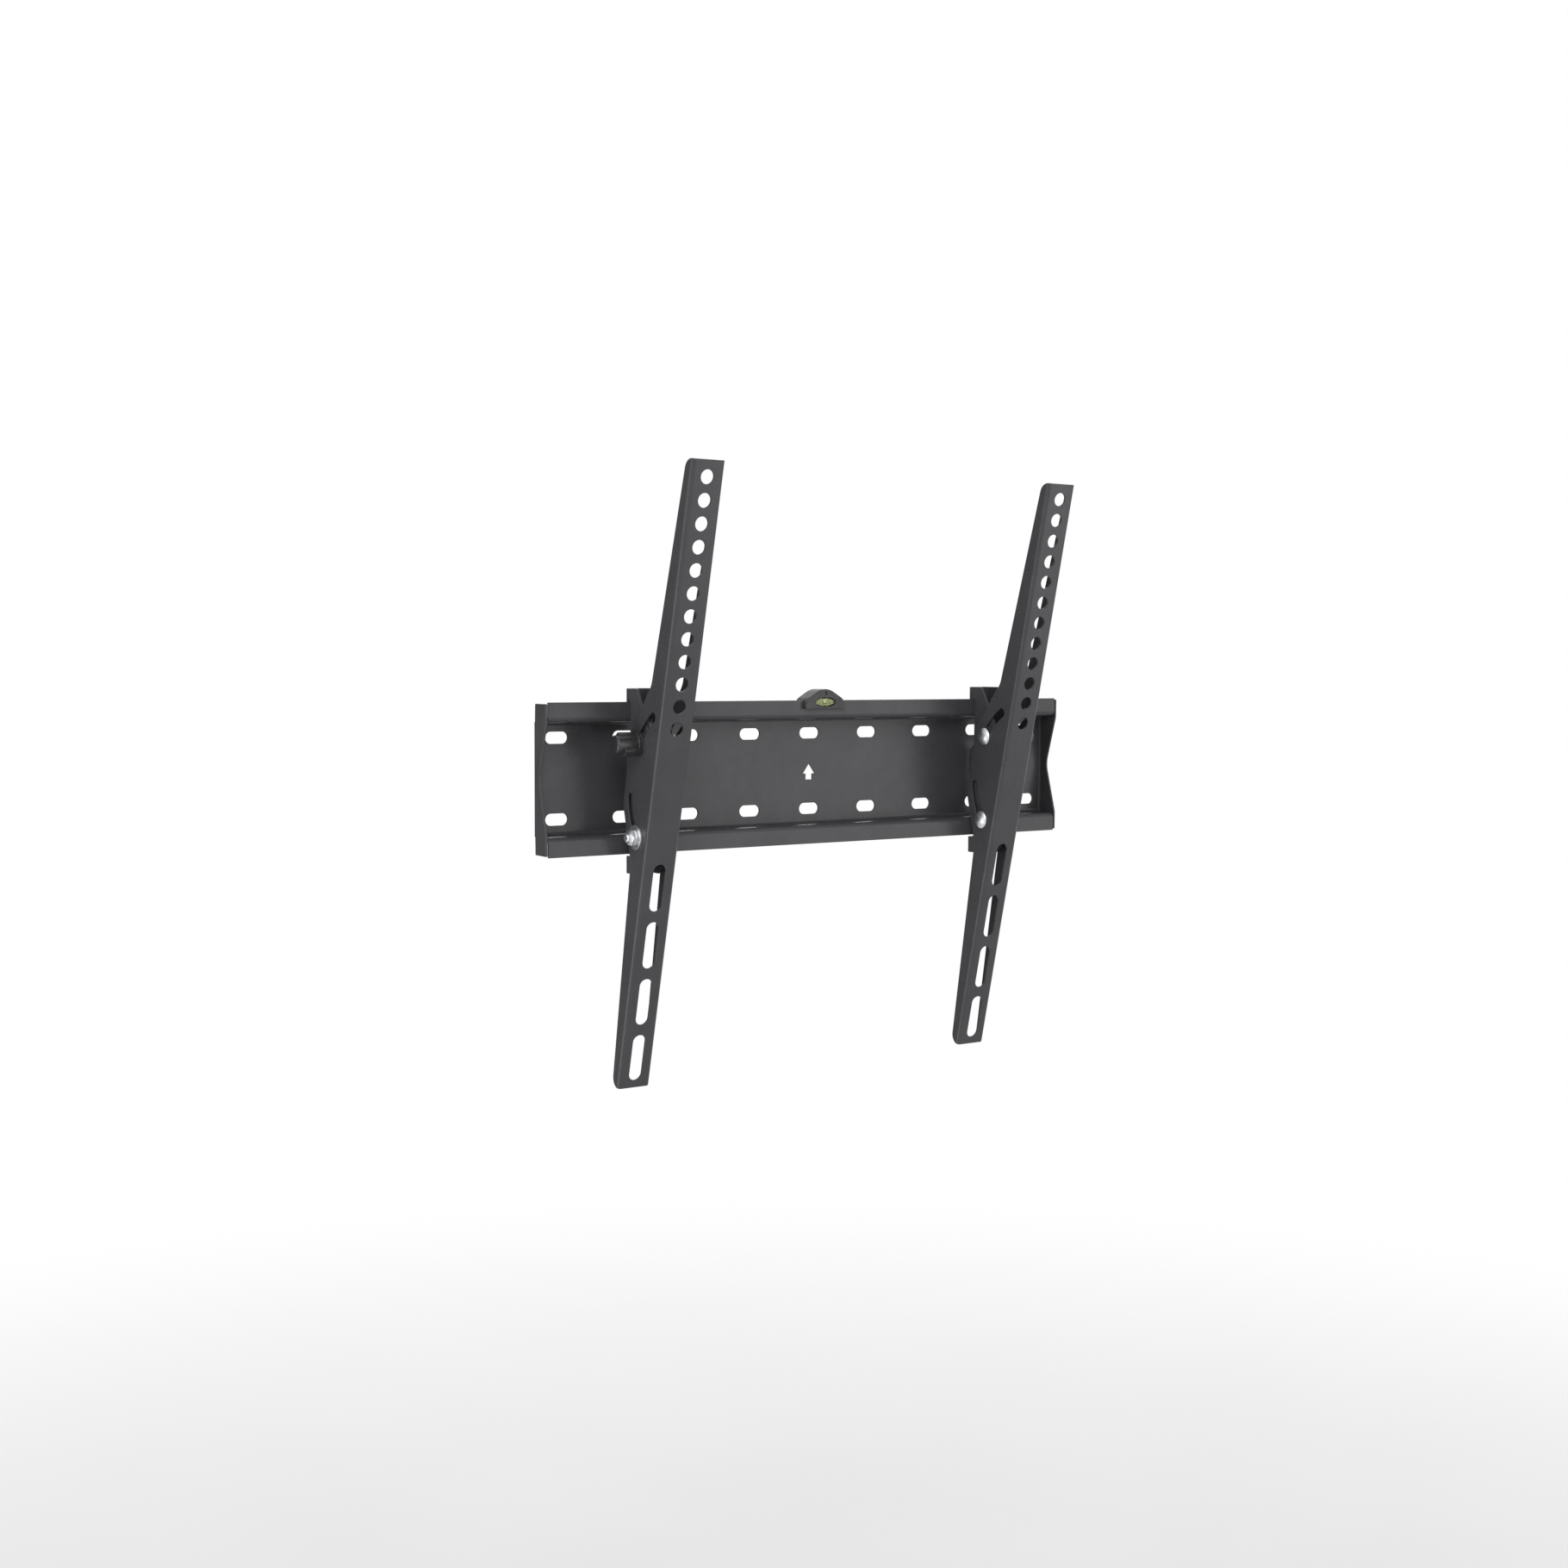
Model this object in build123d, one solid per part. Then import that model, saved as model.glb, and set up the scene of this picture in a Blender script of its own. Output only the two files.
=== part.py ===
from build123d import *
import os
from math import atan2, cos, degrees, radians, sin, tan

# A tilting wall bracket for a flat screen, in millimetres.
# The wall is the plane y = 0, the room is on the -Y side and +Z is up. The origin is the middle of the
# wall plate's back face. Two folded arms hang on the plate's rails by hook brackets. Each arm tilts about
# an axis in the air ahead of it, because its bolts run in slots that are arcs round that axis.

# Wall plate, one folded sheet
plate_length = 440.0          # over the end flanges
plate_sheet = 1.5
plate_bend = 2.5              # inside radius of the folds
rail_web_level = 39.0         # mid-height to the outer face of a rail's web
lip_level = 51.0              # mid-height to the free edge of a rail's lip
rail_depth = 18.5             # wall to the front of the lips
flange_level = 50.0           # mid-height to the ends of an end flange
flange_corner = 0.8
flange_bend = 1.9             # inside radius of the fold
flange_fold_level = 38.0      # mid-height to the ends of that fold
wave_level = 36.5             # where the wave in the flange's front edge starts
wave_dip = 10.4               # before the wave is rounded
wave_round = 20.0
wave_start_round = 10.0
end_gap = 0.5                 # between the rails' ends and the flanges
wall_slot_pitch = 50.8
wall_slot_count = 9
wall_slot_rows = 54.4         # between the two rows
wall_slot_length = 16.5
wall_slot_width = 8.0
arrow_top = 5.0
arrow_head_width = 10.0
arrow_head_height = 7.0
arrow_stem_width = 5.5
arrow_stem_height = 4.3

# Arms, two folded channels that carry the screen
arm_spacing = 295.0           # between the arms' middle planes
arm_width = 25.0
arm_sheet = 1.5
arm_bend = 1.5
arm_above = 212.0             # from the tilt axis to the top end
arm_below = 217.0             # from the tilt axis to the bottom end
arm_end_depth = 8.0           # depth of the flanges at the ends
arm_end_corner = 7.5
arm_taper_depth = 18.3        # depth where the taper meets the lobe
arm_lobe_foot = 61.0          # that place, from the tilt axis
arm_lobe_depth = 37.0         # depth of the lobe that holds the arc slots
arm_lobe_half = 25.0
arm_lobe_round = 8.0
arm_foot_round = 16.0
arm_hole = 9.4
arm_hole_pitch = 15.0
arm_hole_count = 12
arm_hole_margin = 11.0        # top end to the first hole
arm_slot_length = 33.0
arm_slot_pitch = 40.6
arm_slot_count = 4
arm_slot_margin = 21.9        # bottom end to the middle of the last slot

# Tilt: all arc slots have their centre on the tilt axis, which is parallel to X
tilt_at_rest = 13.0           # degrees, top of the arm towards the room
tilt_swing = 13.0             # degrees either way from upright
tilt_stop_gap = 0.4           # degrees that a slot runs on past the swing
tilt_axis_level = -7.5
tilt_axis_reach = 27.6        # tilt axis to the arm's front face
arc_slot_width = 6.8
tilt_arc_radius = 57.0        # of the slots for the tilt bolts
tilt_bolt_angle = 32.8        # degrees, from the tilt axis up to a tilt bolt
tilt_bolt_reach = 34.8        # wall to the tilt bolts
guide_arc_radius = 59.2       # of the slots for the guide bolts
guide_bolt_angle = 31.7       # degrees, from the tilt axis down to a guide bolt

# Hook brackets, folded channels that hang on the top rail
hook_sheet = 2.0
hook_bend = 1.5
hook_clearance = 0.3          # to the rail's lips
hook_rest_gap = 0.2           # to the top edge of the lip
hook_rise = 9.0               # above the lip
tongue_depth = 5.7
tongue_drop = 9.5             # of the tongue behind the lip
tab_gap = 1.5                 # below the bottom lip
tab_height = 12.0
rear_web_top = 13.0
rear_web_bottom = -20.0
notch_round = 7.5             # where a notch runs out to the rear web
notch_corner = 1.0
hook_tip_round = 1.5          # corners of the tongue and at the rear
hook_corner_round = 2.5
hook_slope_round = 4.0
hook_corner_reach = 8.0       # from the lip's front to the sloped front corners
bolt_edge = 7.2               # from a tilt bolt to the bracket's front edge
bolt_corner = 10.6            # from a bolt to the slope's end on that edge

# Bolts and what is on them
run_clearance = 0.1           # between faces that turn on each other
bolt_diameter = 6.0
bolt_hole_clearance = 0.2     # on the radius
thread_clearance = 0.08       # on the radius
bolt_head_diameter = 13.0
bolt_head_height = 3.6
bolt_head_rim = 0.8
bolt_tip_chamfer = 0.8
friction_washer = 1.3
friction_washer_diameter = 15.5
guide_washer = 1.5
guide_washer_diameter = 16.5
guide_nut_flats = 10.0
guide_nut_hex = 4.0
guide_nut_height = 5.2
guide_nut_collar = 9.0
guide_bolt_end = 1.5          # past the nut

# Tilt knobs, moulded round a threaded insert
knob_washer = 1.0
knob_base_diameter = 16.0
knob_base = 2.4
knob_length = 17.2
knob_hub_diameter = 12.5
knob_hub_round = 1.6
knob_wing_span = 17.5
knob_wing_thickness = 6.0
knob_wing_length = 9.9
knob_wing_round = 1.0
knob_wing_angle = 45.0        # degrees, from level, rising to the wall
insert_flats = 9.0
insert_length = 10.0
tilt_bolt_end = 1.5           # short of the insert's outer end

# Bubble level on the top rail
level_width = 34.0
level_front = 3.5             # ahead of the lip
level_depth = 14.0
level_drop = 6.3              # of the body below the lip's edge
level_rise = 7.9              # of the body above the lip's edge
level_slope = 31.0            # degrees, of the roof
level_crown_round = 14.0
level_shoulder_round = 7.0
level_edge = 0.8
level_slot_gap = 0.15
level_back_wall = 0.6         # behind the vial
window_width = 17.7
window_height = 6.9
window_drop = 1.3             # window's middle below the lip's edge
vial_wall = 0.6
vial_gap = 0.05
vial_inset = 0.2
bubble_diameter = 4.2
bubble_rise = 0.5             # above the window's middle
mark_diameter = 3.0
mark_depth = 1.0
mark_rise = 4.8               # middle of the round mark above the lip's edge

# Worked out from the sizes above
hook_width = arm_width - 2 * (arm_sheet + friction_washer + 2 * run_clearance)
axis_y = -tilt_bolt_reach - tilt_arc_radius * cos(radians(tilt_bolt_angle))
bolt_arcs = {"tilt": (tilt_arc_radius, tilt_bolt_angle), "guide": (guide_arc_radius, -guide_bolt_angle)}
lip_front = -rail_depth
lip_back = plate_sheet - rail_depth
tongue_front = lip_back + hook_clearance
hook_rear = tongue_front + tongue_depth
hook_front = -tilt_bolt_reach - bolt_edge
hook_top = lip_level + hook_rise
hook_bottom = -lip_level - tab_gap - tab_height
arm_side = arm_width / 2
knob_start = arm_side + run_clearance + knob_washer + run_clearance
through = 2 * arm_width       # cutters reach this far, past any sheet


def bolt_place(radius, angle):
    """Where a bolt is in Y and Z, at an angle and a distance from the tilt axis."""
    return Vector(axis_y + radius * cos(radians(angle)), tilt_axis_level + radius * sin(radians(angle)))


bolt_places = {name: bolt_place(*arc) for name, arc in bolt_arcs.items()}


def folded_face(middle_line, sheet, inside_radius):
    """Section of a sheet folded along its middle line: both sides half a sheet away, with round folds."""
    points = [Vector(*point) for point in middle_line]
    runs = [(after - before).normalized() for before, after in zip(points, points[1:])]
    sides = []
    for side in (1, -1):
        normals = [Vector(-run.Y, run.X) * side for run in runs]
        corners = [points[0] + normals[0] * (sheet / 2)]
        radii = []
        for i, point in enumerate(points[1:-1]):
            mitre = (normals[i] + normals[i + 1]) / (1 + normals[i].dot(normals[i + 1]))
            corners.append(point + mitre * (sheet / 2))
            turns_in = runs[i].cross(runs[i + 1]).Z * side > 0
            radii.append(inside_radius if turns_in else inside_radius + sheet)
        corners.append(points[-1] + normals[-1] * (sheet / 2))
        sides.append(FilletPolyline(*corners, radius=radii))
    left, right = sides
    caps = [Line(left @ end, right @ end) for end in (0, 1)]
    return make_face([*left.edges(), *right.edges(), *caps])


def rounded_face(corners):
    """Face from a list of corners, each a point and the radius that rounds it."""
    points = [point for point, radius in corners]
    radii = [radius for point, radius in corners]
    return make_face(FilletPolyline(*points, radius=radii, close=True))


def prism_x(face, start, end):
    """Solid of a face drawn in Y and Z, from start to end along X."""
    return extrude(Plane.YZ.offset(start) * face, amount=end - start)


def ring_x(outer_diameter, inner_diameter, start, end):
    """Washer round the X axis, from start to end."""
    return prism_x(Circle(outer_diameter / 2) - Circle(inner_diameter / 2), start, end)


def rail_section():
    """Plate's section: flat back, then at each side a web forward and a lip away from the middle."""
    back = -plate_sheet / 2
    web = rail_web_level - plate_sheet / 2
    lip = lip_front + plate_sheet / 2
    line = [(lip, -lip_level), (lip, -web), (back, -web), (back, web), (lip, web), (lip, lip_level)]
    return folded_face(line, plate_sheet, plate_bend)


def end_flange():
    """Flange folded forward at the plate's +X end, with a wave in its front edge."""
    fold = plate_sheet + flange_bend
    outer = plate_length / 2
    middle = outer - plate_sheet / 2
    root = outer - fold - plate_sheet
    back = -plate_sheet / 2
    line = [(root, back), (middle, back), (middle, -fold - plate_sheet)]
    turn = folded_face(line, plate_sheet, flange_bend)
    corner = extrude(Plane.XY.offset(-flange_fold_level) * turn, amount=2 * flange_fold_level)
    outline = rounded_face([
        ((lip_front, -flange_level), flange_corner), ((lip_front, -wave_level), wave_start_round),
        ((lip_front + wave_dip, 0), wave_round), ((lip_front, wave_level), wave_start_round),
        ((lip_front, flange_level), flange_corner), ((-fold, flange_level), flange_corner),
        ((-fold, -flange_level), flange_corner),
    ])
    return corner + prism_x(outline, outer - plate_sheet, outer)


def arrow_face():
    """Arrow that shows which way up the plate goes."""
    neck = arrow_top - arrow_head_height
    foot = neck - arrow_stem_height
    head = arrow_head_width / 2
    stem = arrow_stem_width / 2
    border = Polyline((0, arrow_top), (head, neck), (stem, neck), (stem, foot),
                      (-stem, foot), (-stem, neck), (-head, neck), close=True)
    return make_face(border)


def wall_plate():
    """Folded plate with two rails, rows of slots for the wall screws and a flange at each end."""
    rail_end = plate_length / 2 - plate_sheet - end_gap
    flange = end_flange()
    plate = prism_x(rail_section(), -rail_end, rail_end) + flange + mirror(flange, about=Plane.YZ)
    rows = GridLocations(wall_slot_pitch, wall_slot_rows, wall_slot_count, 2)
    cuts = arrow_face() + rows * SlotOverall(wall_slot_length, wall_slot_width)
    return plate - extrude(Plane.XZ * cuts, amount=2 * plate_sheet, both=True)


def hook_outline():
    """Side view of a hook bracket: tongue behind the top lip, notches for the rails, tab at the bottom."""
    notch = lip_front - hook_clearance
    ceiling = lip_level + hook_rest_gap
    corner = lip_front - hook_corner_reach
    slope_top = bolt_places["tilt"].Y + bolt_corner
    slope_bottom = bolt_places["guide"].Y - bolt_corner
    tab_top = -lip_level - tab_gap
    tongue_end = lip_level - tongue_drop
    return rounded_face([
        ((hook_rear, hook_top), hook_tip_round), ((corner, hook_top), hook_corner_round),
        ((hook_front, slope_top), hook_slope_round), ((hook_front, slope_bottom), hook_slope_round),
        ((corner, hook_bottom), hook_corner_round), ((hook_rear, hook_bottom), hook_tip_round),
        ((hook_rear, tab_top), hook_corner_round), ((notch, tab_top), notch_corner),
        ((notch, rear_web_bottom), notch_round), ((hook_rear, rear_web_bottom), 0),
        ((hook_rear, rear_web_top), 0), ((notch, rear_web_top), notch_round),
        ((notch, ceiling), 0), ((tongue_front, ceiling), 0),
        ((tongue_front, tongue_end), hook_tip_round), ((hook_rear, tongue_end), hook_tip_round),
    ])


def hook_bracket():
    """Channel open to the room, cut to the hook's outline, with a hole for each bolt through both sides."""
    side = (hook_width - hook_sheet) / 2
    web = hook_rear - hook_sheet / 2
    section = folded_face([(side, hook_front), (side, web), (-side, web), (-side, hook_front)],
                          hook_sheet, hook_bend)
    channel = extrude(Plane.XY.offset(hook_bottom) * section, amount=hook_top - hook_bottom)
    bracket = channel & prism_x(hook_outline(), -hook_width, hook_width)
    for place in bolt_places.values():
        hole = Pos(place) * Circle(bolt_diameter / 2 + bolt_hole_clearance)
        bracket -= prism_x(hole, -through, through)
    return bracket


def arm_outline():
    """Side view of an arm from the tilt axis: straight front, tapered ends, a lobe for the arc slots."""
    def behind(depth, height):
        return (tilt_axis_reach + depth, height)

    end_round = min(arm_end_corner, 0.95 * arm_end_depth)
    return rounded_face([
        (behind(0, -arm_below), 0), (behind(arm_end_depth, -arm_below), end_round),
        (behind(arm_taper_depth, -arm_lobe_foot), arm_foot_round),
        (behind(arm_lobe_depth, -arm_lobe_half), arm_lobe_round),
        (behind(arm_lobe_depth, arm_lobe_half), arm_lobe_round),
        (behind(arm_taper_depth, arm_lobe_foot), arm_foot_round),
        (behind(arm_end_depth, arm_above), end_round), (behind(0, arm_above), 0),
    ])


def arm_channel():
    """Channel open to the wall, cut to the arm's outline, with holes in front and arc slots beside."""
    side = (arm_width - arm_sheet) / 2
    front = tilt_axis_reach + arm_sheet / 2
    rear = tilt_axis_reach + arm_lobe_depth
    section = folded_face([(-side, rear), (-side, front), (side, front), (side, rear)], arm_sheet, arm_bend)
    channel = extrude(Plane.XY.offset(-arm_below) * section, amount=arm_above + arm_below)
    channel = channel & prism_x(arm_outline(), -arm_width, arm_width)

    cuts = Sketch()
    for i in range(arm_hole_count):
        cuts += Pos(0, arm_above - arm_hole_margin - i * arm_hole_pitch) * Circle(arm_hole / 2)
    for i in range(arm_slot_count):
        level = i * arm_slot_pitch + arm_slot_margin - arm_below
        cuts += Pos(0, level) * SlotOverall(arm_slot_length, arm_hole, rotation=90)
    channel -= extrude(Plane.XZ * cuts, amount=2 * rear, both=True)

    reach = tilt_swing + tilt_stop_gap
    for radius, angle in bolt_arcs.values():
        arc = CenterArc((0, 0), radius, angle - reach, 2 * reach)
        channel -= prism_x(SlotArc(arc, arc_slot_width), -through, through)
    return channel


def arm_pieces():
    """One folded arm in two nodes that meet where its bends end: the front, and the two flat sides."""
    channel = arm_channel()
    bend_end = tilt_axis_reach + arm_sheet + arm_bend
    ahead = Rectangle(through, 2 * (arm_above + arm_below), align=(Align.MAX, Align.CENTER))
    block = prism_x(Pos(bend_end, 0) * ahead, -through, through)
    place = Pos(0, axis_y, tilt_axis_level) * Rot(tilt_at_rest, 0, 0)
    return place * (channel & block), place * (channel - block)


def on_bolt(name, solid):
    """Solid drawn round the X axis, moved on to the axis of the named bolt."""
    return Pos(0, bolt_places[name].X, bolt_places[name].Y) * solid


def bolt(name, end):
    """Dome-headed bolt through both arm flanges and the hook bracket, with its head on the inner side."""
    head = -arm_side - run_clearance
    rise = bolt_head_height - bolt_head_rim
    half = bolt_head_diameter / 2
    dome_radius = (half**2 + rise**2) / (2 * rise)
    centre = (0, bolt_head_height - dome_radius)
    start = degrees(atan2(bolt_head_rim - centre[1], half))
    dome = CenterArc(centre, dome_radius, start, 90 - start)
    sides = Polyline((0, bolt_head_height), (0, 0), (half, 0), (half, bolt_head_rim))
    section = make_face([*dome.edges(), *sides.edges()])
    head_solid = Rot(0, -90, 0) * revolve(Plane.XZ * section, Axis.Z)
    shank = prism_x(Circle(bolt_diameter / 2), head, end)
    tip = shank.faces().sort_by(Axis.X)[-1]
    shank = chamfer(tip.edges(), bolt_tip_chamfer)
    return on_bolt(name, Pos(head, 0, 0) * head_solid + shank)


def tilt_bolt():
    return bolt("tilt", knob_start + insert_length - tilt_bolt_end)


def guide_stack():
    """Where the guide washer and nut start and end on their bolt."""
    washer_start = arm_side + run_clearance
    nut_start = washer_start + guide_washer
    return washer_start, nut_start, nut_start + guide_nut_height


def guide_bolt():
    return bolt("guide", guide_stack()[2] + guide_bolt_end)


def guide_washer_ring():
    start, end, _ = guide_stack()
    bore = bolt_diameter + 2 * bolt_hole_clearance
    return on_bolt("guide", ring_x(guide_washer_diameter, bore, start, end))


def guide_nut():
    """Lock nut: a hexagon with a round collar that grips the thread."""
    _, start, end = guide_stack()
    hexagon = RegularPolygon(guide_nut_flats / 2, 6, major_radius=False)
    solid = prism_x(hexagon, start, start + guide_nut_hex)
    collar = prism_x(Circle(guide_nut_collar / 2), start, end)
    collar = fillet(collar.faces().sort_by(Axis.X)[-1].edges(), (guide_nut_height - guide_nut_hex) / 2)
    bore = prism_x(Circle(bolt_diameter / 2 + thread_clearance), start, end)
    return on_bolt("guide", solid + collar - bore)


def friction_washers():
    """Plastic washers on both bolts, between each side of the hook bracket and the arm's flange."""
    bore = bolt_diameter + 2 * bolt_hole_clearance
    start = hook_width / 2 + run_clearance
    washers = []
    for name in bolt_places:
        for inner in (start, -start - friction_washer):
            washer = ring_x(friction_washer_diameter, bore, inner, inner + friction_washer)
            washers.append(on_bolt(name, washer))
    return Compound(washers)


def knob_washer_ring():
    bore = bolt_diameter + 2 * bolt_hole_clearance
    start = arm_side + run_clearance
    return on_bolt("tilt", ring_x(knob_base_diameter, bore, start, start + knob_washer))


def insert_face():
    return RegularPolygon(insert_flats / 2, 6, major_radius=False)


def knob():
    """Wing knob: round base, a bar across the hub to grip, and a pocket for the insert."""
    base = prism_x(Circle(knob_base_diameter / 2), 0, knob_base)
    hub = prism_x(Circle(knob_hub_diameter / 2), 0, knob_length)
    hub = fillet(hub.faces().sort_by(Axis.X)[-1].edges(), knob_hub_round)
    bar = RectangleRounded(knob_wing_span, knob_wing_thickness, knob_wing_round)
    wing = prism_x(Rot(0, 0, knob_wing_angle) * bar, 0, knob_base + knob_wing_length)
    solid = base + hub + wing - prism_x(insert_face(), 0, insert_length)
    return on_bolt("tilt", Pos(knob_start, 0, 0) * solid)


def knob_insert():
    bore = Circle(bolt_diameter / 2 + thread_clearance)
    return on_bolt("tilt", prism_x(insert_face() - bore, knob_start, knob_start + insert_length))


def window_face(inset):
    """Oval window of the level, smaller all round by inset."""
    return Pos(0, lip_level - window_drop) * Ellipse(window_width / 2 - inset, window_height / 2 - inset)


def level_slab(face, front, depth):
    """Solid of a face drawn in X and Z, whose front is at y = front."""
    return extrude(Plane.XZ.offset(-front - depth) * face, amount=depth)


def vial_depth():
    return level_front - level_slot_gap - level_back_wall - vial_inset


def level_body():
    """Plastic body with a round roof that sits astride the lip, and a window in front for the vial."""
    half = level_width / 2
    bottom = lip_level - level_drop
    slope = radians(level_slope)
    peak = lip_level + level_rise + level_crown_round * (1 / cos(slope) - 1)
    shoulder = peak - half * tan(slope)
    outline = rounded_face([
        ((-half, bottom), level_edge), ((half, bottom), level_edge),
        ((half, shoulder), level_shoulder_round), ((0, peak), level_crown_round),
        ((-half, shoulder), level_shoulder_round),
    ])
    front = lip_front - level_front
    body = level_slab(outline, front, level_depth)
    body = fillet(body.faces().sort_by(Axis.Y)[0].edges(), level_edge)
    slot_front = lip_front - level_slot_gap
    slot_depth = plate_sheet + 2 * level_slot_gap
    slot = Pos(0, lip_level - level_drop) * Rectangle(2 * level_width, 2 * level_drop)
    body -= level_slab(slot, slot_front, slot_depth)
    body -= level_slab(window_face(0), front, vial_inset + vial_depth())
    mark = Pos(0, lip_level + mark_rise) * Circle(mark_diameter / 2)
    return body - level_slab(mark, front, mark_depth)


def level_vial():
    """Clear oval cup, open at the back, that holds the liquid in the body's window."""
    front = lip_front - level_front + vial_inset
    cup = level_slab(window_face(vial_gap), front, vial_depth())
    return cup - level_slab(window_face(vial_wall), front + vial_wall, vial_depth() - vial_wall)


def level_fluid():
    """Liquid that fills the vial round the bubble."""
    front = lip_front - level_front + vial_inset + vial_wall
    depth = vial_depth() - vial_wall
    bubble = Pos(0, lip_level - window_drop + bubble_rise) * Circle(bubble_diameter / 2)
    return level_slab(window_face(vial_wall) - bubble, front, depth)


def side_pieces():
    """Every piece of one side, with +X pointing away from the middle of the wall plate."""
    arm_front, arm_sides = arm_pieces()
    return {
        "hook_bracket": hook_bracket(),
        "arm": arm_front,
        "arm_sides": arm_sides,
        "tilt_bolt": tilt_bolt(),
        "guide_bolt": guide_bolt(),
        "guide_washer": guide_washer_ring(),
        "guide_nut": guide_nut(),
        "friction_washers": friction_washers(),
        "knob": knob(),
        "knob_insert": knob_insert(),
        "knob_washer": knob_washer_ring(),
    }


os.makedirs("parts", exist_ok=True)
pieces = {
    "wall_plate": wall_plate(),
    "level_body": level_body(),
    "level_vial": level_vial(),
    "level_fluid": level_fluid(),
}
for name, piece in side_pieces().items():
    pieces["right_" + name] = Pos(arm_spacing / 2, 0, 0) * piece
    pieces["left_" + name] = Pos(-arm_spacing / 2, 0, 0) * mirror(piece, about=Plane.YZ)
for name, piece in pieces.items():
    export_step(piece, f"parts/{name}.step")
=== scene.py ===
from math import radians

import bmesh
import bpy
import numpy as np
from mathutils import Matrix, Vector


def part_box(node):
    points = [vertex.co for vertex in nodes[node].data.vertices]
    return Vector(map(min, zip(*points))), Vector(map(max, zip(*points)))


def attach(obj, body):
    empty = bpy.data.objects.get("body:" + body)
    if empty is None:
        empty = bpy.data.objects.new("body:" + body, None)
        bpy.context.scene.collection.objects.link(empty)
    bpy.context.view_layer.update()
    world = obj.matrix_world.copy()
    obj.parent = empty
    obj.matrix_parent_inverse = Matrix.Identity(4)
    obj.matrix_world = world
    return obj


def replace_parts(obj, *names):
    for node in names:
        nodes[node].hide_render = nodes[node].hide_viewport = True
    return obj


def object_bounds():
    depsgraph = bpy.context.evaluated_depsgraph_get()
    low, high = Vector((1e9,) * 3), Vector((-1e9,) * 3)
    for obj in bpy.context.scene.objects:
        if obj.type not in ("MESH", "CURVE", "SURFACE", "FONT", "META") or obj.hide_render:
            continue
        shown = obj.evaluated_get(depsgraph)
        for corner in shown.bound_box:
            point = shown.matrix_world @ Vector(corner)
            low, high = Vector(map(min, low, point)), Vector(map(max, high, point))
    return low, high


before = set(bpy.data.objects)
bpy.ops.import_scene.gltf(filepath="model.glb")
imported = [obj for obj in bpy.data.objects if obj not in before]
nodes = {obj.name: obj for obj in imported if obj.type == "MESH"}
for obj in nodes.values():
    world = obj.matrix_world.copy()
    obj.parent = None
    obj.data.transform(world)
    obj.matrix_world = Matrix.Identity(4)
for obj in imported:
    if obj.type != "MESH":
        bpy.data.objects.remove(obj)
cad_box = [list(corner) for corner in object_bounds()]


# Wall plate
# One sheet of 1.5 mm steel, punched with rows of slots and folded into two hanging rails and two waved
# end flanges. It is sprayed with satin black powder, which bakes to a fine orange peel.
def new_material(name):
    """An empty node material with its output, and the shader that feeds it."""
    material = bpy.data.materials.new(name)
    material.use_nodes = True
    tree = material.node_tree
    tree.nodes.clear()
    output = tree.nodes.new("ShaderNodeOutputMaterial")
    shader = tree.nodes.new("ShaderNodeBsdfPrincipled")
    tree.links.new(shader.outputs["BSDF"], output.inputs["Surface"])
    return material, tree, shader


def noise(tree, lumps, detail=2.0):
    """Noise on Object coordinates, with so many lumps to the metre."""
    place = tree.nodes.new("ShaderNodeTexCoord")
    cloud = tree.nodes.new("ShaderNodeTexNoise")
    cloud.inputs["Scale"].default_value = lumps
    cloud.inputs["Detail"].default_value = detail
    tree.links.new(place.outputs["Object"], cloud.inputs["Vector"])
    return cloud.outputs["Fac"]


# Most of the noise lies in this span.
NOISE_SPAN = (0.3, 0.7)


def blend_colours(tree, factor, low, high, span=NOISE_SPAN):
    """A colour that goes from low to high as the factor goes through a span."""
    ramp = tree.nodes.new("ShaderNodeValToRGB")
    ramp.color_ramp.elements[0].position = span[0]
    ramp.color_ramp.elements[0].color = (*low, 1.0)
    ramp.color_ramp.elements[1].position = span[1]
    ramp.color_ramp.elements[1].color = (*high, 1.0)
    tree.links.new(factor, ramp.inputs["Fac"])
    return ramp.outputs["Color"]


def cloud_colour(tree, shader, low, high, lumps, detail=2.0):
    """Let the colour go from low to high in clouds."""
    colour = blend_colours(tree, noise(tree, lumps, detail), low, high)
    tree.links.new(colour, shader.inputs["Base Color"])


def cloud_roughness(tree, shader, smooth, rough, lumps, detail=2.0):
    """Let the roughness go from smooth to rough in clouds."""
    spread = tree.nodes.new("ShaderNodeMapRange")
    spread.inputs["From Min"].default_value = NOISE_SPAN[0]
    spread.inputs["From Max"].default_value = NOISE_SPAN[1]
    spread.inputs["To Min"].default_value = smooth
    spread.inputs["To Max"].default_value = rough
    tree.links.new(noise(tree, lumps, detail), spread.inputs["Value"])
    tree.links.new(spread.outputs["Result"], shader.inputs["Roughness"])


def bump(tree, relief, height, under=None):
    """A surface normal raised to a height by the relief, on top of another bump if there is one."""
    raised = tree.nodes.new("ShaderNodeBump")
    raised.inputs["Strength"].default_value = 1.0
    raised.inputs["Distance"].default_value = height
    tree.links.new(relief, raised.inputs["Height"])
    if under is not None:
        tree.links.new(under, raised.inputs["Normal"])
    return raised.outputs["Normal"]


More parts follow.
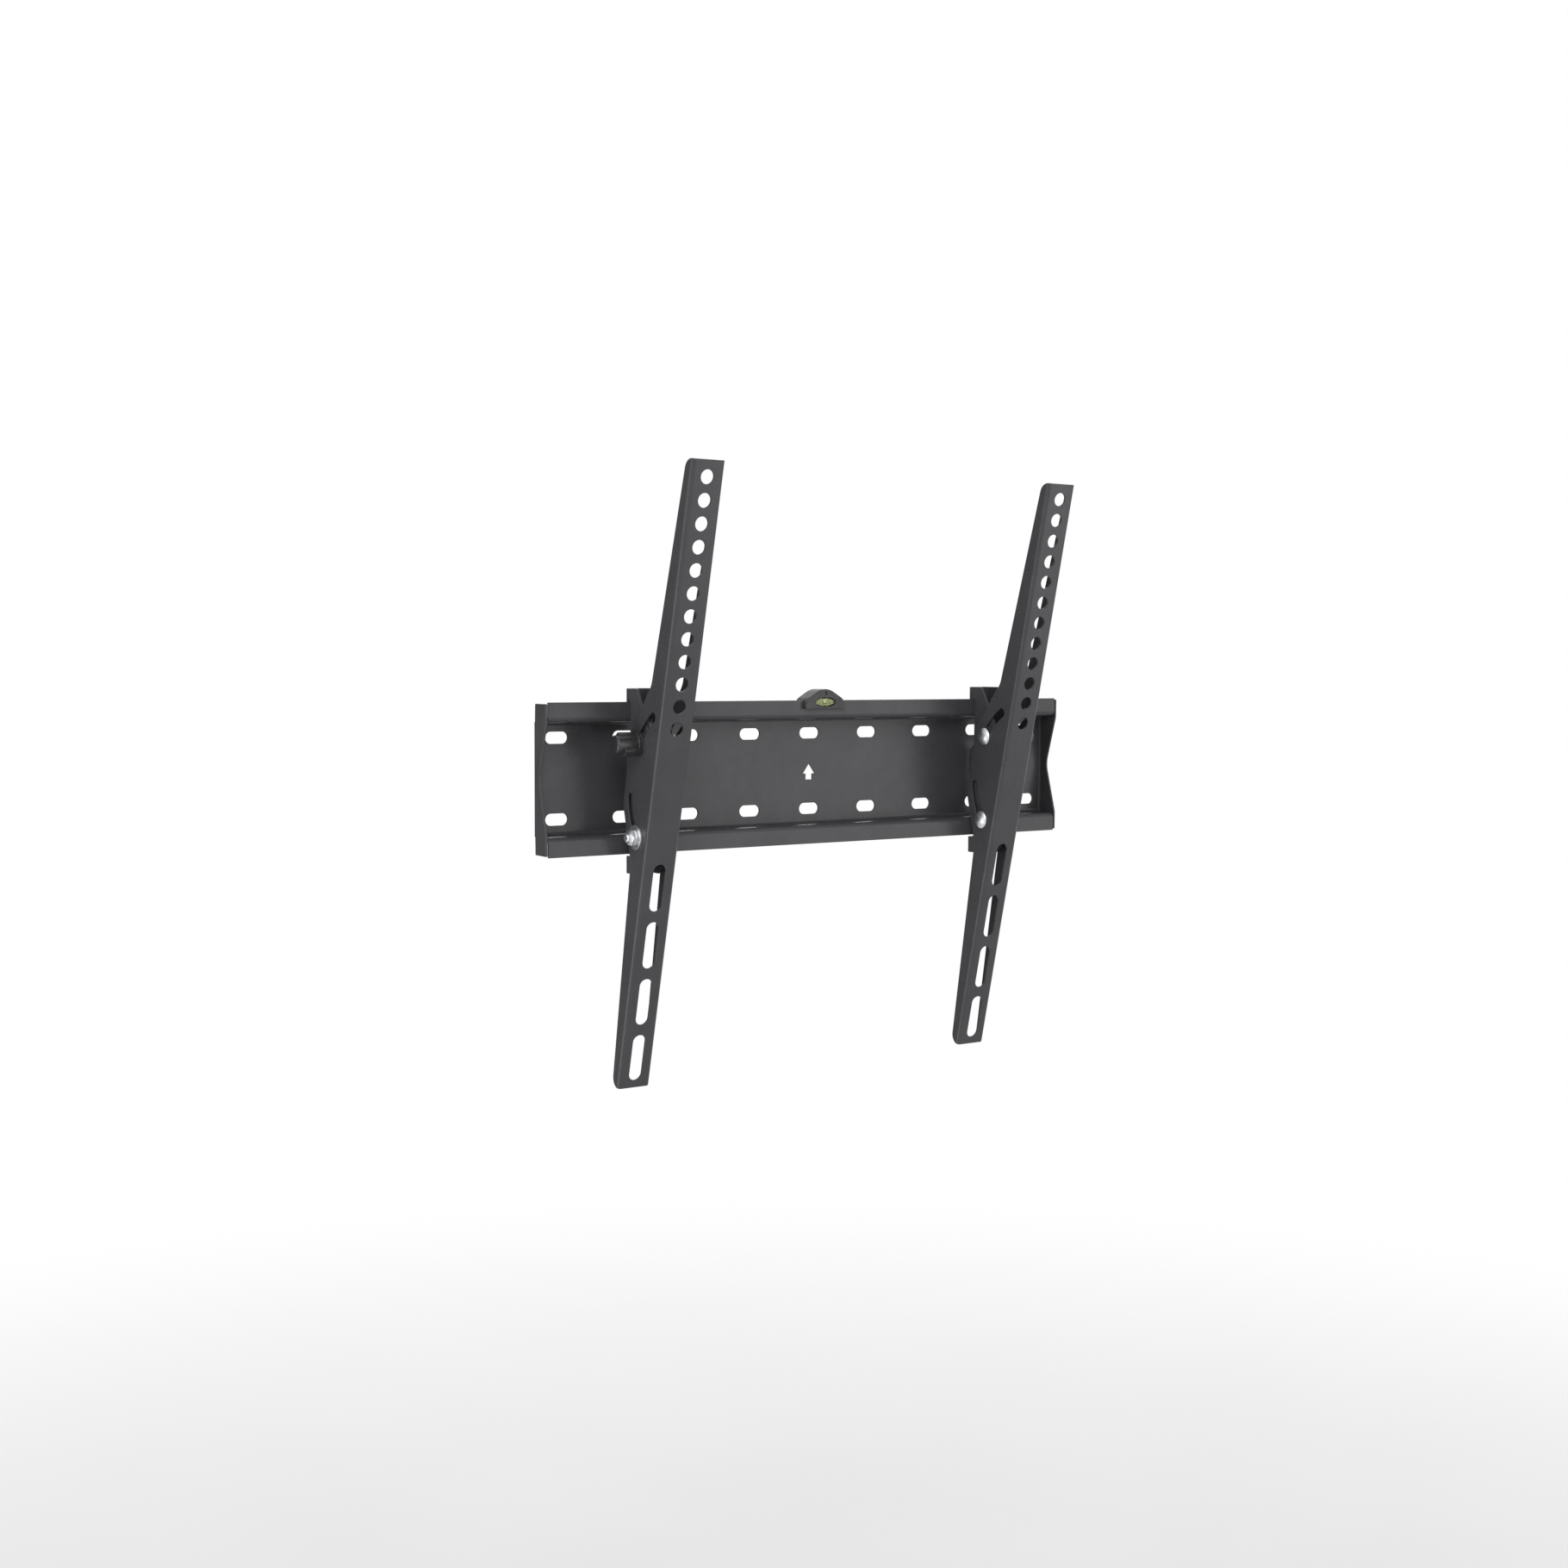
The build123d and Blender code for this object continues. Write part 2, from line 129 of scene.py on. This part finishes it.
def powder_coat():
    """Black powder coat: cloudy charcoal, satin, with an orange peel and a finer grain on it."""
    material, tree, shader = new_material("powder_coat")
    cloud_colour(tree, shader, (0.042, 0.042, 0.045), (0.050, 0.050, 0.054), lumps=35.0, detail=3.0)
    cloud_roughness(tree, shader, 0.25, 0.32, lumps=120.0, detail=3.0)
    peel = bump(tree, noise(tree, lumps=700.0, detail=1.0), height=0.00004)
    grain = bump(tree, noise(tree, lumps=2600.0, detail=1.0), height=0.00002, under=peel)
    tree.links.new(grain, shader.inputs["Normal"])
    shader.inputs["Specular IOR Level"].default_value = 0.22
    return material


SHARP_ANGLE = radians(30.0)


def add_piece(mesh, name, body, material):
    """A finished mesh as a piece that rides on a body, shaded smooth but for its sharp edges."""
    mesh.shade_smooth()
    mesh.set_sharp_from_angle(angle=SHARP_ANGLE)
    mesh.materials.append(material)
    piece = bpy.data.objects.new(name, mesh)
    bpy.context.scene.collection.objects.link(piece)
    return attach(piece, body)


NODE_WELD = 2e-6
FLAT_ANGLE = radians(0.7)


def rounded_copy(name, body, slot, material, radius, *copied):
    """CAD nodes welded into one skin, without faces inside it, its sharp outer edges rounded."""
    skin = bmesh.new()
    for node in copied:
        skin.from_mesh(nodes[node].data)
    bmesh.ops.remove_doubles(skin, verts=skin.verts, dist=NODE_WELD)
    inside = [face for face in skin.faces if sum(len(edge.link_faces) > 2 for edge in face.edges) > 1]
    bmesh.ops.delete(skin, geom=inside, context="FACES")
    bmesh.ops.dissolve_limit(skin, angle_limit=FLAT_ANGLE, verts=skin.verts, edges=skin.edges)
    weight = skin.edges.layers.float.new("bevel_weight_edge")
    for edge in skin.edges:
        edge[weight] = float(edge.is_manifold and edge.calc_face_angle_signed() > SHARP_ANGLE)
    mesh = bpy.data.meshes.new(name)
    skin.to_mesh(mesh)
    skin.free()
    if "custom_normal" in mesh.attributes:
        mesh.attributes.remove(mesh.attributes["custom_normal"])
    piece = add_piece(mesh, name, body, material)
    edges = piece.modifiers.new("rounded_edges", "BEVEL")
    edges.width = radius
    edges.segments = 3
    edges.limit_method = "WEIGHT"
    edges.loop_slide = False
    edges.use_clamp_overlap = False
    edges.harden_normals = True
    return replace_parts(piece, *copied)


SHEET_EDGE = 0.00042
coat = powder_coat()
rounded_copy("plate_sheet", "wall", "coated_steel", coat, SHEET_EDGE, "wall_plate")


# Bubble level
# A small moulded body clipped on the top rail. Its window holds a clear vial of tinted spirit with one
# bubble, to hang the plate level.
def moulded_black(name, low, high, smooth, rough, gloss):
    """Black moulded plastic with a spark-eroded grain, cloudy from low to high colour."""
    material, tree, shader = new_material(name)
    cloud_colour(tree, shader, low, high, lumps=160.0, detail=3.0)
    cloud_roughness(tree, shader, smooth, rough, lumps=900.0)
    grain = bump(tree, noise(tree, lumps=3200.0), height=0.00005)
    tree.links.new(grain, shader.inputs["Normal"])
    shader.inputs["Specular IOR Level"].default_value = gloss
    return material


LEVEL_EDGE = 0.00025
level_black = moulded_black("level_moulding", (0.042, 0.042, 0.044), (0.058, 0.058, 0.060),
                            smooth=0.44, rough=0.56, gloss=0.2)
rounded_copy("level_case", "wall", "level_plastic", level_black, LEVEL_EDGE, "level_body")


RING_WELD = 1e-7


def skin_of_rings(name, rings):
    """Rings of points joined by quads, row after row. A row that shrinks to one point closes as a pole."""
    rows, columns = rings.shape[:2]
    row, column = np.meshgrid(np.arange(rows - 1), np.arange(columns), indexing="ij")
    after = (column + 1) % columns
    quads = np.stack([row * columns + column, (row + 1) * columns + column,
                      (row + 1) * columns + after, row * columns + after], -1).reshape(-1, 4)
    mesh = bpy.data.meshes.new(name)
    mesh.from_pydata(rings.reshape(-1, 3).tolist(), [], quads.tolist())
    skin = bmesh.new()
    skin.from_mesh(mesh)
    bmesh.ops.remove_doubles(skin, verts=skin.verts, dist=RING_WELD)
    bmesh.ops.recalc_face_normals(skin, faces=skin.faces)
    skin.to_mesh(mesh)
    skin.free()
    return mesh


def round_angles(columns):
    """So many angles round a full circle."""
    return 2.0 * np.pi * np.arange(columns) / columns


def oval_rings(centre, half_width, half_height, rows):
    """Ovals round the Y axis: (s (a - i) cos t, y, s (b - i) sin t), where a row gives its depth y, its
    share s of the full oval and its inset i."""
    angle = round_angles(72)
    depth, share, inset = np.array(rows).T[:, :, None]
    across = share * (half_width - inset) * np.cos(angle)
    up = share * (half_height - inset) * np.sin(angle)
    return np.stack([across, np.broadcast_to(depth, across.shape), up], -1) + centre


def clear_moulding():
    """Clear acrylic with a faint green in it and a little flow in its polish."""
    material, tree, shader = new_material("clear_acrylic")
    cloud_colour(tree, shader, (0.86, 0.90, 0.78), (0.93, 0.95, 0.86), lumps=220.0)
    cloud_roughness(tree, shader, 0.03, 0.08, lumps=420.0)
    shader.inputs["Transmission Weight"].default_value = 1.0
    shader.inputs["Specular IOR Level"].default_value = 0.12
    shader.inputs["IOR"].default_value = 1.2
    return material


# The vial from front to back: its crowned face, the round to its rim, its walls and the corner inside.
VIAL_CROWN = 0.00018
VIAL_ROUND_DEPTH = 0.00028
VIAL_ROUND_INSET = 0.00005
VIAL_RIM = 0.00045
VIAL_WALL = 0.00055
VIAL_FRONT_WALL = 0.00060
CORNER_DEPTH = 0.00005
CORNER_INSET = 0.00007
vial_low, vial_high = (np.array(corner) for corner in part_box("level_vial"))
vial_half = (vial_high - vial_low) / 2.0
vial_middle = (vial_low + vial_high) / 2.0
vial_front = np.array([vial_middle[0], vial_low[1], vial_middle[2]])
vial_back = vial_high[1] - vial_low[1]
crown_share = np.linspace(0.0, 1.0, 9)
vial_rows = np.vstack([
    np.column_stack([VIAL_CROWN * crown_share**2, crown_share, np.full_like(crown_share, VIAL_CROWN)]),
    (VIAL_ROUND_DEPTH, 1.0, VIAL_ROUND_INSET),
    (VIAL_RIM, 1.0, 0.0),
    (vial_back, 1.0, 0.0),
    (vial_back, 1.0, VIAL_WALL),
    (VIAL_FRONT_WALL + CORNER_DEPTH, 1.0, VIAL_WALL),
    (VIAL_FRONT_WALL, 1.0, VIAL_WALL + CORNER_INSET),
    (VIAL_FRONT_WALL, 0.0, VIAL_WALL + CORNER_INSET),
])
vial = skin_of_rings("level_window", oval_rings(vial_front, vial_half[0], vial_half[2], vial_rows))
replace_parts(add_piece(vial, "level_window", "wall", clear_moulding()), "level_vial")


def tinted_spirit():
    """The level's dull yellow-green spirit, a little darker in clouds."""
    material, tree, shader = new_material("tinted_spirit")
    cloud_colour(tree, shader, (0.20, 0.21, 0.085), (0.26, 0.27, 0.115), lumps=260.0)
    cloud_roughness(tree, shader, 0.20, 0.30, lumps=300.0)
    shader.inputs["Specular IOR Level"].default_value = 0.2
    return material


SPIRIT_FACE = 0.00130
SPIRIT_INSET = 0.00065
SPIRIT_BACK_GAP = 0.00005
MENISCUS_DEPTH = 0.00015
MENISCUS_INSET = 0.00025
spirit_back = vial_back - SPIRIT_BACK_GAP
spirit_rows = [
    (SPIRIT_FACE, 0.0, SPIRIT_INSET),
    (SPIRIT_FACE, 1.0, SPIRIT_INSET + MENISCUS_INSET),
    (SPIRIT_FACE + MENISCUS_DEPTH, 1.0, SPIRIT_INSET),
    (spirit_back, 1.0, SPIRIT_INSET),
    (spirit_back, 0.0, SPIRIT_INSET),
]
spirit = skin_of_rings("level_spirit", oval_rings(vial_front, vial_half[0], vial_half[2], spirit_rows))
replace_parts(add_piece(spirit, "level_spirit", "wall", tinted_spirit()), "level_fluid")


def bubble_painted_shade(centre, radius):
    """Painted light and shade for the bubble: a pale middle that goes over to a painted dark rim, more so
    below, by the distance from a raised centre. The scale in depth is so long that depth hardly counts."""
    material, tree, shader = new_material("bubble_painted_shade")
    raised = 0.14 * radius
    depth_scale = 20.0
    place = tree.nodes.new("ShaderNodeTexCoord")
    shift = tree.nodes.new("ShaderNodeMapping")
    shift.vector_type = "TEXTURE"
    shift.inputs["Location"].default_value = (centre[0], centre[1], centre[2] + raised)
    shift.inputs["Scale"].default_value = (radius, depth_scale, radius)
    tree.links.new(place.outputs["Object"], shift.inputs["Vector"])
    reach = tree.nodes.new("ShaderNodeVectorMath")
    reach.operation = "LENGTH"
    tree.links.new(shift.outputs["Vector"], reach.inputs[0])
    # Painted shade: the bubble's pale middle darkens to its rim, the lower rim most.
    shade = blend_colours(tree, reach.outputs["Value"], (0.42, 0.43, 0.30), (0.07, 0.075, 0.03),
                          span=(0.62, 0.90))
    tree.links.new(shade, shader.inputs["Base Color"])
    cloud_roughness(tree, shader, 0.25, 0.35, lumps=300.0)
    return material


BUBBLE_RADIUS = 0.00205
BUBBLE_HALF_DEPTH = 0.00088
BUBBLE_PLACE = (0.0, 0.00160, 0.00055)
bubble_centre = vial_front + np.array(BUBBLE_PLACE)
pole_to_pole = np.linspace(0.0, np.pi, 17)
bubble_rows = np.column_stack([-BUBBLE_HALF_DEPTH * np.cos(pole_to_pole), np.sin(pole_to_pole),
                               np.zeros_like(pole_to_pole)])
bubble = skin_of_rings("level_bubble", oval_rings(bubble_centre, BUBBLE_RADIUS, BUBBLE_RADIUS, bubble_rows))
# The bubble's material paints its light and shade: a pale middle and a dark rim.
add_piece(bubble, "level_bubble", "wall", bubble_painted_shade(bubble_centre, BUBBLE_RADIUS))


# Hook brackets and arms
# Each side hangs a folded hook bracket on the rails and carries a long folded arm, punched with a row of
# screw holes and slots. Both are steel sheet with the same powder coat as the plate.
for side in ("left", "right"):
    rounded_copy(f"{side}_hook_sheet", f"{side}_carriage", "coated_steel", coat, SHEET_EDGE,
                 f"{side}_hook_bracket")
    rounded_copy(f"{side}_arm_sheet", f"{side}_tilt_arm", "coated_steel", coat, SHEET_EDGE,
                 f"{side}_arm", f"{side}_arm_sides")


# Bolts, washers and lock nuts
# Two zinc-plated bolts a side go through the hook bracket and the arm's arc slots. Friction washers part
# the sheets, and a lock nut on a wide washer holds the lower bolt.
def zinc_plate():
    """Bright zinc: cool grey metal, clouded by the bath, with fine turning marks."""
    material, tree, shader = new_material("zinc_plate")
    cloud_colour(tree, shader, (0.54, 0.55, 0.57), (0.68, 0.69, 0.70), lumps=260.0, detail=4.0)
    cloud_roughness(tree, shader, 0.32, 0.46, lumps=520.0, detail=3.0)
    marks = bump(tree, noise(tree, lumps=1800.0), height=0.00002)
    tree.links.new(marks, shader.inputs["Normal"])
    shader.inputs["Metallic"].default_value = 1.0
    return material


def turned_rings(node, along, radius, outwards):
    """Rings on a node's axis, from its inner end: (x, r cos t, r sin t), where x goes by row, and r by row
    and angle."""
    low, high = (np.array(corner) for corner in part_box(node))
    middle = (low + high) / 2.0
    start = np.array([low[0] if outwards > 0 else high[0], middle[1], middle[2]])
    angle = round_angles(radius.shape[1])
    reach = np.broadcast_to(outwards * along[:, None], radius.shape)
    return np.stack([reach, radius * np.cos(angle), radius * np.sin(angle)], -1) + start


HEAD_HEIGHT = 0.0036
HEAD_RADIUS = 0.0065
HEAD_RIM = 0.0008
HEAD_EDGE = 0.0002
NECK_FILLET = 0.0003
SHANK_RADIUS = 0.0030
THREAD_PITCH = 0.0010
THREAD_DEPTH = 0.00042
THREAD_LEAD = 0.0002
THREAD_ROWS = 10
TIP_CHAMFER = 0.0008


def bolt_mesh(name, node, outwards, thread_start):
    """A domed bolt: a ball's cap, a plain shank, then a thread whose radius falls in a shallow V, r(x, a)
    = R - d (1 - |2 f - 1|), where f is the fraction of x / pitch - a / 2 pi, and a chamfer at its tip."""
    low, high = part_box(node)
    length = high[0] - low[0]
    rise = HEAD_HEIGHT - HEAD_RIM
    ball = (HEAD_RADIUS**2 + rise**2) / (2.0 * rise)
    dome = ball * np.sin(np.arcsin(HEAD_RADIUS / ball) * np.linspace(0.0, 1.0, 13))
    thread = np.arange(thread_start, length, THREAD_PITCH / THREAD_ROWS)
    profile = np.vstack([
        np.column_stack([ball - np.sqrt(ball**2 - dome**2), dome]),
        (rise + HEAD_EDGE, HEAD_RADIUS),
        (HEAD_HEIGHT - HEAD_EDGE, HEAD_RADIUS),
        (HEAD_HEIGHT, HEAD_RADIUS - HEAD_EDGE),
        (HEAD_HEIGHT, SHANK_RADIUS + NECK_FILLET),
        (HEAD_HEIGHT + NECK_FILLET, SHANK_RADIUS),
        (thread_start - THREAD_LEAD, SHANK_RADIUS),
        np.column_stack([thread, np.full_like(thread, SHANK_RADIUS)]),
        (length, SHANK_RADIUS - TIP_CHAMFER),
        (length, 0.0),
    ])
    along, plain = profile.T
    turn = (along[:, None] - thread_start) / THREAD_PITCH - round_angles(60) / (2.0 * np.pi)
    groove = THREAD_DEPTH * (1.0 - np.abs(2.0 * (turn % 1.0) - 1.0))
    run_in = np.clip((along - thread_start) / THREAD_PITCH, 0.0, 1.0)
    run_out = np.clip((length - along) / THREAD_PITCH, 0.0, 1.0)
    tip = np.clip(SHANK_RADIUS - TIP_CHAMFER + (length - along), 0.0, SHANK_RADIUS)
    threaded = np.where(along >= thread_start, np.minimum(plain, tip), plain)
    radius = np.maximum(threaded[:, None] - (run_in * run_out)[:, None] * groove, 0.0)
    return skin_of_rings(name, turned_rings(node, along, radius, outwards))


NUT_HALF_WIDTH = 0.0050
NUT_HEIGHT = 0.0040
NUT_FACE = 0.00475
NUT_BORE = 0.00308
MOUTH_WIDTH = 0.0003
MOUTH_DEPTH = 0.0004
COLLAR_RADIUS = 0.0045
COLLAR_FOOT = 0.0001
COLLAR_ROUND = 0.0006


def lock_nut_mesh(name, node, outwards):
    """A lock nut: hexagon r = h / cos(a mod 60 - 30), cut by 30 degree cones at its faces, and a round
    collar."""
    low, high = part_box(node)
    length = high[0] - low[0]
    angle = round_angles(120)
    corner = NUT_HALF_WIDTH / np.cos(angle % (np.pi / 3.0) - np.pi / 6.0)
    lower_half = np.array([0.0, 0.00012, 0.00025, 0.0004, 0.0009, NUT_HEIGHT / 2.0])
    rise = np.concatenate([lower_half, NUT_HEIGHT - lower_half[-2::-1]])
    cone = NUT_FACE + np.minimum(rise, NUT_HEIGHT - rise) / np.tan(radians(30.0))
    sides = np.minimum(corner, cone[:, None])
    bend = np.linspace(0.0, np.pi / 2.0, 6)
    ends = np.vstack([
        (NUT_HEIGHT, COLLAR_RADIUS + COLLAR_FOOT),
        (NUT_HEIGHT + COLLAR_FOOT, COLLAR_RADIUS),
        np.column_stack([length - COLLAR_ROUND + COLLAR_ROUND * np.sin(bend),
                         COLLAR_RADIUS - COLLAR_ROUND + COLLAR_ROUND * np.cos(bend)]),
        (length, NUT_BORE + MOUTH_WIDTH),
        (length - MOUTH_DEPTH, NUT_BORE),
        (MOUTH_WIDTH, NUT_BORE),
        (0.0, NUT_BORE + MOUTH_WIDTH),
        (0.0, NUT_FACE),
    ])
    along = np.concatenate([rise, ends[:, 0]])
    radius = np.vstack([sides, np.repeat(ends[:, 1:], len(angle), 1)])
    return skin_of_rings(name, turned_rings(node, along, radius, outwards))


THREAD_STARTS = {"tilt": 0.0335, "guide": 0.0315}
WASHER_EDGE = 0.0002
SEAT_EDGE = 0.00015
zinc = zinc_plate()
washer_black = moulded_black("washer_nylon", (0.040, 0.040, 0.041), (0.056, 0.056, 0.058),
                             smooth=0.5, rough=0.62, gloss=0.3)
for side, outwards in (("left", -1), ("right", 1)):
    carriage = f"{side}_carriage"
    for bolt, thread_start in THREAD_STARTS.items():
        made = bolt_mesh(f"{side}_{bolt}_screw", f"{side}_{bolt}_bolt", outwards, thread_start)
        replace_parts(add_piece(made, made.name, carriage, zinc), f"{side}_{bolt}_bolt")
    made = lock_nut_mesh(f"{side}_lock_nut", f"{side}_guide_nut", outwards)
    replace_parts(add_piece(made, made.name, carriage, zinc), f"{side}_guide_nut")
    rounded_copy(f"{side}_wide_washer", carriage, "zinc_steel", zinc, WASHER_EDGE,
                 f"{side}_guide_washer")
    rounded_copy(f"{side}_slip_washers", carriage, "washer_plastic", washer_black, WASHER_EDGE,
                 f"{side}_friction_washers")
    rounded_copy(f"{side}_seat_washer", carriage, "washer_plastic", washer_black, SEAT_EDGE,
                 f"{side}_knob_washer")


# Tilt knobs
# A moulded wing knob on each upper bolt, turned by hand to hold the tilt. A threaded brass insert is
# moulded into its hub.
def turned_brass():
    """Plain turned brass, a little dull."""
    material, tree, shader = new_material("turned_brass")
    cloud_colour(tree, shader, (0.58, 0.42, 0.16), (0.72, 0.55, 0.26), lumps=300.0, detail=3.0)
    cloud_roughness(tree, shader, 0.28, 0.42, lumps=500.0)
    shader.inputs["Metallic"].default_value = 1.0
    return material


KNOB_EDGE = 0.0005
knob_black = moulded_black("knob_moulding", (0.018, 0.018, 0.020), (0.026, 0.026, 0.028),
                           smooth=0.24, rough=0.32, gloss=0.5)
brass = turned_brass()
for side in ("left", "right"):
    rounded_copy(f"{side}_wing_knob", f"{side}_tilt_knob", "knob_plastic", knob_black, KNOB_EDGE,
                 f"{side}_knob")
    insert = nodes[f"{side}_knob_insert"]
    insert.data.materials.clear()
    insert.data.materials.append(brass)


# Floor
# A round sheet of pale paper, well below the bracket because it hangs high. It holds the shadow and fades
# into the white room around it.
FLOOR_LEVEL = cad_box[0][2] - 0.9
FLOOR_RADIUS = 9.0
SHADOW_RADIUS = 1.0
FADE_RADIUS = 3.2


def dull_finish(name, low, high, lumps):
    """A dull material without gloss, cloudy from low to high colour."""
    material, tree, shader = new_material(name)
    cloud_colour(tree, shader, low, high, lumps)
    shader.inputs["Roughness"].default_value = 0.9
    shader.inputs["Specular IOR Level"].default_value = 0.0
    return material, tree, shader


def floor_paper():
    """Pale paper that goes over to plain white from the shadow's radius to the fade's radius."""
    material, tree, shader = dull_finish("floor_paper", (0.80, 0.80, 0.80), (0.83, 0.83, 0.83), lumps=3.0)
    place = tree.nodes.new("ShaderNodeTexCoord")
    reach = tree.nodes.new("ShaderNodeVectorMath")
    reach.operation = "LENGTH"
    tree.links.new(place.outputs["Object"], reach.inputs[0])
    fade = tree.nodes.new("ShaderNodeMapRange")
    fade.interpolation_type = "SMOOTHSTEP"
    fade.inputs["From Min"].default_value = SHADOW_RADIUS
    fade.inputs["From Max"].default_value = FADE_RADIUS
    tree.links.new(reach.outputs["Value"], fade.inputs["Value"])
    white = tree.nodes.new("ShaderNodeEmission")
    white.inputs["Strength"].default_value = 1.0
    mix = tree.nodes.new("ShaderNodeMixShader")
    output = next(node for node in tree.nodes if node.type == "OUTPUT_MATERIAL")
    tree.links.new(fade.outputs["Result"], mix.inputs["Fac"])
    tree.links.new(shader.outputs["BSDF"], mix.inputs[1])
    tree.links.new(white.outputs["Emission"], mix.inputs[2])
    tree.links.new(mix.outputs["Shader"], output.inputs["Surface"])
    return material


def floor_disc():
    """A flat disc: rings of radius R u^2, with u from 0 to 1."""
    radius = FLOOR_RADIUS * np.linspace(0.0, 1.0, 25)[:, None] ** 2
    angle = round_angles(64)
    across = radius * np.cos(angle)
    ahead = radius * np.sin(angle)
    mesh = skin_of_rings("floor", np.stack([across, ahead, np.full_like(across, FLOOR_LEVEL)], -1))
    disc = bpy.data.objects.new("floor", mesh)
    bpy.context.scene.collection.objects.link(disc)
    return disc


floor = floor_disc()
floor.data.materials.append(floor_paper())


# Light
# Two large soft boxes stand ahead of the bracket and one behind it, in a white room. A narrow one at its
# left lights the arms' bends, and a dark card at its left and behind keeps the arms' sides dark.
def white_room(strength):
    """World light: white to the eye, to gloss and through clear plastic, softer as light on the object."""
    world = bpy.data.worlds.new("white_room")
    bpy.context.scene.world = world
    world.use_nodes = True
    tree = world.node_tree
    tree.nodes.clear()
    path = tree.nodes.new("ShaderNodeLightPath")
    seen = tree.nodes.new("ShaderNodeMath")
    seen.operation = "MAXIMUM"
    tree.links.new(path.outputs["Is Camera Ray"], seen.inputs[0])
    tree.links.new(path.outputs["Is Glossy Ray"], seen.inputs[1])
    shown = tree.nodes.new("ShaderNodeMath")
    shown.operation = "MAXIMUM"
    tree.links.new(seen.outputs["Value"], shown.inputs[0])
    tree.links.new(path.outputs["Is Transmission Ray"], shown.inputs[1])
    level = tree.nodes.new("ShaderNodeMapRange")
    level.inputs["To Min"].default_value = strength
    level.inputs["To Max"].default_value = 1.0
    tree.links.new(shown.outputs["Value"], level.inputs["Value"])
    room = tree.nodes.new("ShaderNodeBackground")
    room.inputs["Color"].default_value = (1.0, 1.0, 1.0, 1.0)
    tree.links.new(level.outputs["Result"], room.inputs["Strength"])
    output = tree.nodes.new("ShaderNodeOutputWorld")
    tree.links.new(room.outputs["Background"], output.inputs["Surface"])


AIM = (0.0, -0.03, 0.0)


def soft_box(name, place, width, height, watts):
    """A rectangular lamp at a place, turned towards the bracket."""
    lamp = bpy.data.lights.new(name, "AREA")
    lamp.shape = "RECTANGLE"
    lamp.size = width
    lamp.size_y = height
    lamp.energy = watts
    box = bpy.data.objects.new(name, lamp)
    facing = (Vector(AIM) - Vector(place)).to_track_quat("-Z", "Y")
    box.matrix_world = Matrix.Translation(place) @ facing.to_matrix().to_4x4()
    box.visible_camera = False
    bpy.context.scene.collection.objects.link(box)


def dark_card(place, width, height):
    """An upright card that shows only in gloss and through clear plastic: place + s w / 2 + t h / 2 with s
    and t at -1 and 1, where w lies level and across the line to the bracket and h points up."""
    across = np.array([AIM[1] - place[1], place[0] - AIM[0], 0.0])
    across *= 0.5 * width / np.linalg.norm(across)
    upward = np.array([0.0, 0.0, 0.5 * height])
    sides = np.array([[-1.0, -1.0], [1.0, -1.0], [1.0, 1.0], [-1.0, 1.0]])
    mesh = bpy.data.meshes.new("dark_card")
    mesh.from_pydata(np.array(place) + sides @ np.stack([across, upward]), [], [[0, 1, 2, 3]])
    cloth = dull_finish("dark_cloth", (0.020, 0.020, 0.021), (0.026, 0.026, 0.027), lumps=40.0)[0]
    mesh.materials.append(cloth)
    card = bpy.data.objects.new("dark_card", mesh)
    bpy.context.scene.collection.objects.link(card)
    card.visible_camera = False
    card.visible_diffuse = False
    card.visible_shadow = False


white_room(strength=0.6)
dark_card((-0.72, 0.92, -0.05), width=0.9, height=1.4)
soft_box("right_box", (1.45, -2.0, 0.15), width=1.5, height=1.8, watts=16.0)
soft_box("high_box", (-1.5, -1.9, 1.4), width=1.5, height=1.5, watts=32.0)
soft_box("low_box", (-1.31, -0.10, -0.37), width=0.25, height=0.9, watts=5.5)
soft_box("back_box", (0.9, 1.9, 0.9), width=1.5, height=1.5, watts=14.0)


# Camera
# It stands to the left of the bracket, a little above its middle, and looks slightly down.
# Angles are in degrees, and the lens and its sensor in millimetres.
CAMERA_PLACE = (-0.81151, -1.18212, 0.07954)
CAMERA_TURN = -33.784
CAMERA_DIP = 3.567
CAMERA_ROLL = 0.297
SENSOR_WIDTH = 36.0
LENS = 45.75
camera_data = bpy.data.cameras.new("camera")
camera_data.sensor_width = SENSOR_WIDTH
camera_data.lens = LENS
camera = bpy.data.objects.new("camera", camera_data)
turn = Matrix.Rotation(radians(CAMERA_TURN), 4, "Z")
lean = Matrix.Rotation(radians(90.0 - CAMERA_DIP), 4, "X")
roll = Matrix.Rotation(radians(CAMERA_ROLL), 4, "Z")
camera.matrix_world = Matrix.Translation(CAMERA_PLACE) @ turn @ lean @ roll
bpy.context.scene.collection.objects.link(camera)
bpy.context.scene.camera = camera
bpy.context.scene.view_settings.view_transform = "Standard"
